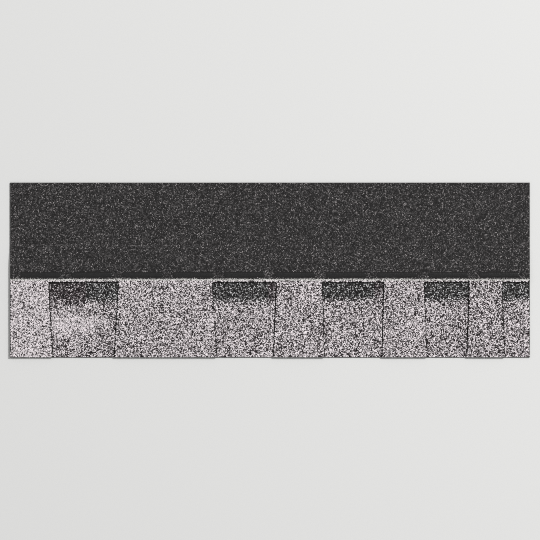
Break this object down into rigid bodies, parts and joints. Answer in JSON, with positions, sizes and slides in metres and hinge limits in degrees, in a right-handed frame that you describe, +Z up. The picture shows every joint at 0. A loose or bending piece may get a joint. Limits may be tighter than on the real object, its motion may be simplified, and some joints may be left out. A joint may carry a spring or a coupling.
{
  "type": "laminated asphalt shingle",
  "caption": "Roofing shingle of two granule-coated asphalt plies: a full-height sheet with flared teeth, glued over a plain backer strip, with a row of sealing beads above the cut-outs.",
  "frame": {"origin": "middle of the footprint, on the floor that the shingle lies on", "axes": "+X along the shingle's length, +Y from the butt edge (tips of the teeth) to the headlap, which is up the slope on a roof, +Z up, out of the granule face"},
  "size_m": [1, 0.3364, 0.0056],
  "materials": {
    "top_granules": "matte",
    "backer_granules": "matte",
    "sealant": "satin",
    "release_film": "gloss"
  },
  "bodies": {
    "root": {"tooth_ply": "top_granules", "backer_ply": "backer_granules", "seal_beads": "sealant", "release_film": "release_film"}
  },
  "joints": []
}
